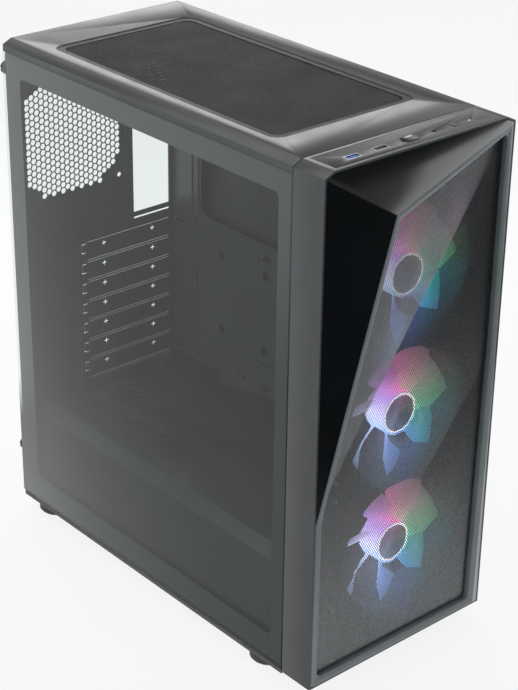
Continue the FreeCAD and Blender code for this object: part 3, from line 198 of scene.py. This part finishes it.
def lit_blades(name, centre):
    """Frosted blades lit from the hub: the colour turns round the fan and fades towards the tips."""
    made = Finish(name, (0.22, 0.24, 0.26), 0.4)
    made.gloss(made.noise(6 * MM, 2), 0.36, 0.46)
    polar = made.add("ShaderNodeMapping")
    polar.inputs["Scale"].default_value = (1 / GLOW_REACH, 0, 1 / GLOW_REACH)
    polar.inputs["Rotation"].default_value = (-math.pi / 2, 0, 0)
    polar.inputs["Location"].default_value = (0, -centre / GLOW_REACH, 0)
    made.join(made.place, polar.inputs["Vector"])
    turn = made.add("ShaderNodeTexGradient", gradient_type="RADIAL")
    away = made.add("ShaderNodeTexGradient", gradient_type="SPHERICAL")
    for pattern in (turn, away):
        made.join(polar.outputs["Vector"], pattern.inputs["Vector"])
    made.join(made.ramp(turn.outputs["Fac"], GLOW_COLOURS), made.shader.inputs["Emission Color"])
    power = made.add("ShaderNodeMath", operation="MULTIPLY")
    power.inputs[1].default_value = GLOW_POWER
    made.join(made.ramp(away.outputs["Fac"], GLOW_FADE), power.inputs[0])
    made.join(power.outputs["Value"], made.shader.inputs["Emission Strength"])
    return made.material


def ring_finish():
    """The lit ring: milky plastic, nearly white."""
    made = Finish("light_ring", (0.9, 0.9, 0.95), 0.4)
    tone = made.ramp(made.noise(14 * MM), ((0.35, (0.70, 0.95, 1.0)), (0.65, (1.0, 0.90, 0.98))))
    made.join(tone, made.shader.inputs["Emission Color"])
    made.shader.inputs["Emission Strength"].default_value = 2.4
    return made.material


FINISHES = {
    "painted_steel": coated("painted_steel", (0.034, 0.038, 0.040), 0.42),
    "front_plastic": moulded("front_plastic", (0.030, 0.034, 0.037), 0.40),
    "gloss_cover": coated("gloss_cover", (0.004, 0.005, 0.006), 0.16, 0.9 * MM, 0.004 * MM, 0.25),
    "frame_plastic": moulded("frame_plastic", (0.10, 0.12, 0.125), 0.34),
    "mesh_steel": plated("mesh_steel", (0.26, 0.27, 0.28), 0.3),
    "smoked_glass": glass_finish(),
    "rubber": moulded("rubber", (0.012, 0.012, 0.012), 0.75, 0.8 * MM),
    "foot_plastic": moulded("foot_plastic", (0.018, 0.018, 0.019), 0.5),
    "fan_plastic": moulded("fan_plastic", (0.012, 0.012, 0.013), 0.45),
    "blade_plastic": moulded("blade_plastic", (0.6, 0.63, 0.66), 0.35),
    "light_ring": ring_finish(),
    "black_screw": plated("black_screw", (0.05, 0.05, 0.052), 0.38),
    "plated_screw": plated("plated_screw", (0.55, 0.56, 0.57), 0.3),
    "brass": plated("brass", (0.30, 0.22, 0.10), 0.35),
    "socket_steel": plated("socket_steel", (0.5, 0.5, 0.5), 0.28),
    "blue_tongue": moulded("blue_tongue", (0.02, 0.12, 0.55), 0.4),
    "black_tongue": moulded("black_tongue", (0.012, 0.012, 0.012), 0.4),
    "lamp": moulded("lamp", (0.75, 0.8, 0.85), 0.2),
    "circuit_board": coated("circuit_board", (0.01, 0.05, 0.02), 0.3),
    "filter_net": coated("filter_net", (0.02, 0.022, 0.024), 0.55),
    "filter_rim": moulded("filter_rim", (0.014, 0.015, 0.016), 0.6),
    "tray_plastic": moulded("tray_plastic", (0.015, 0.015, 0.016), 0.5),
}


# ---------------------------------------------------------------- pieces

PRINT = coated("glass_print", (0.030, 0.045, 0.044), 0.3)
BLADES = {f"fan_rotor_{fan}": lit_blades(f"lit_blades_{fan}", FAN_CENTRE[fan]) for fan in FANS}


def stand_for(obj, node):
    """obj takes the place, body and finish of a CAD node."""
    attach(obj, BODY_OF[node])
    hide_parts(node)
    if not obj.data.materials:
        obj.data.materials.append(FINISHES[SLOT_OF[node]])
    return obj


def new_object(name, mesh):
    obj = bpy.data.objects.new(name, mesh)
    bpy.context.scene.collection.objects.link(obj)
    return obj


def softened(node, width, segments=2):
    """A tidied copy of a CAD node with rounded edges, as the pressed or moulded piece has."""
    source = NODES[node]
    shape = bmesh.new()
    shape.from_mesh(source.data)
    bmesh.ops.remove_doubles(shape, verts=shape.verts, dist=0.002 * MM)
    bmesh.ops.dissolve_limit(shape, angle_limit=math.radians(1), verts=shape.verts, edges=shape.edges)
    mesh = bpy.data.meshes.new(f"{node}_finished")
    shape.to_mesh(mesh)
    shape.free()
    mesh.shade_smooth()
    obj = new_object(f"{node}_finished", mesh)
    edge = obj.modifiers.new("edges", "BEVEL")
    edge.width = width
    edge.segments = segments
    edge.limit_method = "ANGLE"
    edge.angle_limit = math.radians(25)
    edge.harden_normals = True
    return stand_for(obj, node)


def facets_of(node):
    """The forward faces of a CAD node, gathered by plane: outline points by (x, z), and the plane."""
    mesh = NODES[node].data
    groups = {}
    for face in mesh.polygons:
        if face.normal.y > -0.5:
            continue
        key = tuple(round(part, 2) for part in face.normal) + (round(face.normal.dot(face.center), 4),)
        groups.setdefault(key, [face.normal.copy(), face.center.copy(), []])[2].extend(
            mesh.vertices[index].co.copy() for index in face.vertices)
    return list(groups.values())


def hull(points):
    """Convex outline of (x, z) points, counter-clockwise."""
    flat = sorted({(round(p.x, 7), round(p.z, 7)) for p in points})

    def half(sequence):
        line = []
        for p in sequence:
            while len(line) > 1 and ((line[-1][0] - line[-2][0]) * (p[1] - line[-2][1])
                                     - (line[-1][1] - line[-2][1]) * (p[0] - line[-2][0])) <= 0:
                line.pop()
            line.append(p)
        return line[:-1]

    return half(flat) + half(flat[::-1])


def honeycomb(outline, pitch, flats):
    """Flat net in (x, z) over an outline: hexagonal holes `flats` wide in staggered rows `pitch` apart."""
    low_x, high_x = min(p[0] for p in outline), max(p[0] for p in outline)
    low_z, high_z = min(p[1] for p in outline), max(p[1] for p in outline)
    rise = pitch * math.sqrt(3) / 2
    reach = 1.2 * pitch

    def inside(x, z):
        for (ax, az), (bx, bz) in zip(outline, outline[1:] + outline[:1]):
            length = math.hypot(bx - ax, bz - az)
            if ((bx - ax) * (z - az) - (bz - az) * (x - ax)) / length < -reach:
                return False
        return True

    rows = range(math.floor((low_z - reach) / rise), math.ceil((high_z + reach) / rise))
    columns = range(math.floor((low_x - reach) / pitch), math.ceil((high_x + reach) / pitch))
    cells, points = {}, []
    corner = flats / math.sqrt(3)
    ring = [(corner * math.cos(math.radians(30 + 60 * k)), corner * math.sin(math.radians(30 + 60 * k)))
            for k in range(6)]
    for row in rows:
        for column in columns:
            x, z = (column + 0.5 * (row % 2)) * pitch, row * rise
            if inside(x, z):
                cells[column, row] = len(points)
                points += [(x + dx, 0.0, z + dz) for dx, dz in ring]
    faces = []
    for (column, row), first in cells.items():
        shift = row % 2
        east = cells.get((column + 1, row))
        north_east = cells.get((column + shift, row + 1))
        north_west = cells.get((column + shift - 1, row + 1))
        if east is not None:
            faces.append((first + 5, east + 3, east + 2, first))
        if north_east is not None:
            faces.append((first, north_east + 4, north_east + 3, first + 1))
        if north_west is not None:
            faces.append((first + 1, north_west + 5, north_west + 4, first + 2))
        if east is not None and north_east is not None:
            faces.append((first, east + 2, north_east + 4))
        if north_east is not None and north_west is not None:
            faces.append((first + 1, north_east + 3, north_west + 5))
    return points, faces


def perforated(name, outline, plane, pitch, flats, thick):
    """A perforated sheet: the net cut to its outline, laid on its plane and given thickness."""
    points, faces = honeycomb(outline, pitch, flats)
    mesh = bpy.data.meshes.new(name)
    mesh.from_pydata(points, [], faces)
    shape = bmesh.new()
    shape.from_mesh(mesh)
    for (ax, az), (bx, bz) in zip(outline, outline[1:] + outline[:1]):
        across, along = bz - az, ax - bx
        beyond = [face for face in shape.faces
                  if any((vert.co.x - ax) * across + (vert.co.z - az) * along > 0 for vert in face.verts)]
        edges = {edge for face in beyond for edge in face.edges}
        verts = {vert for face in beyond for vert in face.verts}
        bmesh.ops.bisect_plane(
            shape, geom=beyond + list(edges) + list(verts), dist=1e-7,
            plane_co=(ax, 0, az), plane_no=(across, 0, along), clear_outer=True)
    normal, through = plane
    for vert in shape.verts:
        offset = normal.x * (through.x - vert.co.x) + normal.z * (through.z - vert.co.z)
        vert.co.y = through.y + offset / normal.y
    bmesh.ops.recalc_face_normals(shape, faces=shape.faces)
    forward = sum(face.normal.y for face in shape.faces)
    if forward > 0:
        bmesh.ops.reverse_faces(shape, faces=shape.faces)
    shape.to_mesh(mesh)
    shape.free()
    obj = new_object(name, mesh)
    sheet = obj.modifiers.new("thickness", "SOLIDIFY")
    sheet.thickness = thick
    sheet.offset = -1
    return obj


def front_mesh():
    for number, (normal, centre, points) in enumerate(facets_of("front_mesh")):
        for index, part in enumerate(quarters(hull(points))):
            obj = perforated(f"front_mesh_facet_{number}_{index}", part, (normal, centre),
                             MESH_PITCH, MESH_HOLE, MESH_THICK)
            stand_for(obj, "front_mesh")


def split_outline(outline, x):
    """A convex outline cut in two by an upright line."""
    halves = []
    for side in (-1, 1):
        kept = []
        for (ax, az), (bx, bz) in zip(outline, outline[1:] + outline[:1]):
            if (ax - x) * side >= 0:
                kept.append((ax, az))
            if (ax - x) * (bx - x) < 0:
                kept.append((x, az + (bz - az) * (x - ax) / (bx - ax)))
        halves.append(kept)
    return halves


def quarters(outline):
    """The outline whole when small, else in upright strips, so that no piece has too many triangles."""
    left, right = min(p[0] for p in outline), max(p[0] for p in outline)
    height = max(p[1] for p in outline) - min(p[1] for p in outline)
    if (right - left) * height < LARGEST_PIECE:
        return [outline]
    return [part for half in split_outline(outline, (left + right) / 2) for part in quarters(half)]


def closed_mesh(name, points, faces):
    """A mesh of closed shells with every face turned outwards."""
    mesh = bpy.data.meshes.new(name)
    mesh.from_pydata(points, [], faces)
    shape = bmesh.new()
    shape.from_mesh(mesh)
    bmesh.ops.recalc_face_normals(shape, faces=shape.faces)
    shape.to_mesh(mesh)
    shape.free()
    return mesh


def thread(start, end, radius, up):
    """Six-sided straight thread between two points."""
    along = (end - start).normalized()
    side = along.cross(up)
    ring = [side * (radius * math.cos(math.radians(60 * k))) + up * (radius * math.sin(math.radians(60 * k)))
            for k in range(6)]
    points = [end_point + offset for end_point in (start, end) for offset in ring]
    faces = [(k, (k + 1) % 6, 6 + (k + 1) % 6, 6 + k) for k in range(6)]
    return points, faces + [(5, 4, 3, 2, 1, 0), (6, 7, 8, 9, 10, 11)]


def filter_net(node):
    """Dust net of two layers of crossing threads in place of the solid sheet of the CAD."""
    corners = [NODES[node].matrix_world @ vert.co for vert in NODES[node].data.vertices]
    near = Vector(min(corner[axis] for corner in corners) for axis in range(3))
    far = Vector(max(corner[axis] for corner in corners) for axis in range(3))
    radius = (far.z - near.z) * THREAD_SHARE
    up = Vector((0, 0, 1))
    points, faces = [], []
    for axis, height in ((0, near.z + radius), (1, far.z - radius)):
        count = int((far[axis] - near[axis]) / NET_PITCH)
        for number in range(count):
            start, end = near.copy(), far.copy()
            start[axis] = end[axis] = near[axis] + (number + 0.5) * (far[axis] - near[axis]) / count
            start.z = end.z = height
            more_points, more_faces = thread(start, end, radius, up)
            faces += [tuple(index + len(points) for index in face) for face in more_faces]
            points += more_points
    mesh = closed_mesh(f"{node}_threads", points, faces)
    stand_for(new_object(mesh.name, mesh), node)


def rounded(low_y, high_y, low_z, high_z, radius, steps=6):
    """Rounded rectangle of (y, z) points, `steps` + 1 to a corner."""
    corners = ((high_y, high_z, 0), (low_y, high_z, 90), (low_y, low_z, 180), (high_y, low_z, 270))
    line = []
    for y, z, turn in corners:
        centre_y = y - radius if turn in (0, 270) else y + radius
        centre_z = z - radius if turn in (0, 90) else z + radius
        for step in range(steps + 1):
            angle = math.radians(turn + 90 * step / steps)
            line.append((centre_y + radius * math.cos(angle), centre_z + radius * math.sin(angle)))
    return line


def printed_border():
    """The dark print round the clear window, just under the inner face of the pane."""
    outer, inner = rounded(*PRINT_EDGE), rounded(*CLEAR_WINDOW)
    count = len(outer)
    points = [(x, y, z) for x in PRINT_DEPTH for line in (outer, inner) for y, z in line]
    faces = []
    for k in range(count):
        after = (k + 1) % count
        for first, second in ((0, 1), (1, 3), (3, 2), (2, 0)):
            near, far = first * count, second * count
            faces.append((near + k, near + after, far + after, far + k))
    mesh = closed_mesh("glass_print_border", points, faces)
    mesh.materials.append(PRINT)
    border = new_object(mesh.name, mesh)
    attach(border, BODY_OF["glass_panel"])


def carry_over():
    """CAD nodes whose shape is right stay, with their slot's finish."""
    for node, obj in NODES.items():
        if obj.hide_render:
            continue
        obj.data.materials.clear()
        obj.data.materials.append(BLADES.get(node, FINISHES[SLOT_OF[node]]))


# ---------------------------------------------------------------- stage, light, camera

def stage():
    mesh = bpy.data.meshes.new("floor")
    reach = 6.0
    mesh.from_pydata([(-reach, -reach, 0), (reach, -reach, 0), (reach, reach, 0), (-reach, reach, 0)], [],
                     [(0, 1, 2, 3)])
    floor = new_object("floor", mesh)
    made = Finish("floor_paint", (0.8, 0.8, 0.8), 0.9, specular=0.1)
    glow = made.add("ShaderNodeEmission")
    path = made.add("ShaderNodeLightPath")
    seen = made.add("ShaderNodeMath", operation="MAXIMUM")
    made.join(path.outputs["Is Camera Ray"], seen.inputs[0])
    made.join(path.outputs["Is Transmission Ray"], seen.inputs[1])
    mixed = made.add("ShaderNodeMixShader")
    share = made.add("ShaderNodeMath", operation="MULTIPLY")
    share.inputs[1].default_value = 0.85
    made.join(seen.outputs["Value"], share.inputs[0])
    made.join(share.outputs["Value"], mixed.inputs["Fac"])
    made.join(made.shader.outputs["BSDF"], mixed.inputs[1])
    made.join(glow.outputs["Emission"], mixed.inputs[2])
    # Mirrored in the object, the floor is white beside and behind it and falls off to black in front.
    along = made.add("ShaderNodeSeparateXYZ")
    made.join(made.place, along.inputs["Vector"])
    span = made.add("ShaderNodeMapRange")
    span.inputs["From Min"].default_value = -0.62
    span.inputs["From Max"].default_value = -0.28
    made.join(along.outputs["Y"], span.inputs["Value"])
    mirrored = made.add("ShaderNodeEmission")
    made.join(made.ramp(span.outputs["Result"], ((0.0, 0.01), (1.0, 0.95))), mirrored.inputs["Color"])
    whole = made.add("ShaderNodeMixShader")
    made.join(path.outputs["Is Glossy Ray"], whole.inputs["Fac"])
    made.join(mixed.outputs["Shader"], whole.inputs[1])
    made.join(mirrored.outputs["Emission"], whole.inputs[2])
    # Through the glass, the floor close to the tower is in its shade, so the shroud's slits stay dark.
    shade = made.add("ShaderNodeMapRange")
    shade.inputs["From Min"].default_value = 0.44
    shade.inputs["From Max"].default_value = 0.36
    made.join(along.outputs["Y"], shade.inputs["Value"])
    behind_glass = made.add("ShaderNodeMath", operation="MINIMUM")
    behind_glass.inputs[1].default_value = 1.0
    made.join(path.outputs["Transparent Depth"], behind_glass.inputs[0])
    shaded = made.add("ShaderNodeMath", operation="MULTIPLY")
    made.join(behind_glass.outputs["Value"], shaded.inputs[0])
    made.join(shade.outputs["Result"], shaded.inputs[1])
    dim = made.add("ShaderNodeEmission")
    dim.inputs["Color"].default_value = (0.02, 0.022, 0.022, 1)
    final = made.add("ShaderNodeMixShader")
    made.join(shaded.outputs["Value"], final.inputs["Fac"])
    made.join(whole.outputs["Shader"], final.inputs[1])
    made.join(dim.outputs["Emission"], final.inputs[2])
    made.join(final.outputs["Shader"], made.output.inputs["Surface"])
    floor.data.materials.append(made.material)
    world = bpy.data.worlds.new("studio")
    bpy.context.scene.world = world
    world.use_nodes = True
    tree = world.node_tree
    background = tree.nodes["Background"]
    path = tree.nodes.new("ShaderNodeLightPath")
    place = tree.nodes.new("ShaderNodeTexCoord")
    split = tree.nodes.new("ShaderNodeSeparateXYZ")
    tree.links.new(place.outputs["Generated"], split.inputs[0])
    sky = tree.nodes.new("ShaderNodeValToRGB")
    bar = sky.color_ramp
    bar.elements[0].position = 0.40
    bar.elements[0].color = (0.9, 0.9, 0.9, 1)
    bar.elements[1].position = 0.62
    bar.elements[1].color = (0.12, 0.12, 0.12, 1)
    tree.links.new(split.outputs["Z"], sky.inputs["Fac"])
    white = tree.nodes.new("ShaderNodeMixRGB")
    tree.links.new(path.outputs["Is Camera Ray"], white.inputs["Fac"])
    tree.links.new(sky.outputs["Color"], white.inputs["Color1"])
    white.inputs["Color2"].default_value = (1, 1, 1, 1)
    tree.links.new(white.outputs["Color"], background.inputs["Color"])
    background.inputs["Strength"].default_value = 1.0


def softbox(name, place, aim, width, height, power):
    lamp = bpy.data.lights.new(name, "AREA")
    lamp.shape = "RECTANGLE"
    lamp.size = width
    lamp.size_y = height
    lamp.energy = power
    obj = bpy.data.objects.new(name, lamp)
    bpy.context.scene.collection.objects.link(obj)
    obj.location = place
    obj.rotation_mode = "QUATERNION"
    obj.visible_camera = False
    obj.rotation_quaternion = (Vector(aim) - Vector(place)).to_track_quat("-Z", "Y")


def lights():
    middle = (0, 0, 0.25)
    softbox("left_bank", (-2.2, -0.2, 1.1), middle, 1.6, 1.6, 26)
    softbox("right_bank", (2.0, -1.2, 0.8), middle, 1.2, 1.6, 30)
    softbox("overhead", (0.0, 0.6, 2.4), middle, 2.0, 1.2, 22)
    softbox("roof_glance", (0.5, 0.95, 0.75), (0, 0.15, 0.46), 0.8, 0.5, 3.5)


def camera():
    """The viewpoint: turned left of the front, looking down, with a slight roll."""
    lens = bpy.data.cameras.new("camera")
    lens.sensor_width = 36
    lens.lens = 95.18
    lens.clip_start = 0.01
    lens.clip_end = 100
    obj = bpy.data.objects.new("camera", lens)
    bpy.context.scene.collection.objects.link(obj)
    turn, tilt, roll = math.radians(-41.31), math.radians(26.65), math.radians(0.86)
    back = Vector((math.sin(turn) * math.cos(tilt), -math.cos(turn) * math.cos(tilt), math.sin(tilt)))
    side = (-back).cross(Vector((0, 0, 1))).normalized()
    rise = side.cross(-back)
    right = side * math.cos(roll) + rise * math.sin(roll)
    up = rise * math.cos(roll) - side * math.sin(roll)
    obj.matrix_world = Matrix((
        (right.x, up.x, back.x, -0.92167), (right.y, up.y, back.y, -1.06090),
        (right.z, up.z, back.z, 0.92775), (0, 0, 0, 1)))
    bpy.context.scene.camera = obj


# ---------------------------------------------------------------- the whole

scene = bpy.context.scene
scene.view_settings.view_transform = "Standard"
camera()
stage()
lights()
front_mesh()
SOFT_EDGES = {
    "front_shell": 0.35, "facet_cover": 0.3, "mesh_frame": 0.6, "port_strip": 0.25, "glass_panel": 0.3,
    "power_button": 0.35, "reset_button": 0.25, "psu_shroud": 0.25}
for soft_node, soft_width in SOFT_EDGES.items():
    softened(soft_node, soft_width * MM)
softened("chassis_roof", 0.3 * MM, 1)
for net_node in ("top_filter_mesh", "lower_filter_mesh"):
    filter_net(net_node)
printed_border()
carry_over()
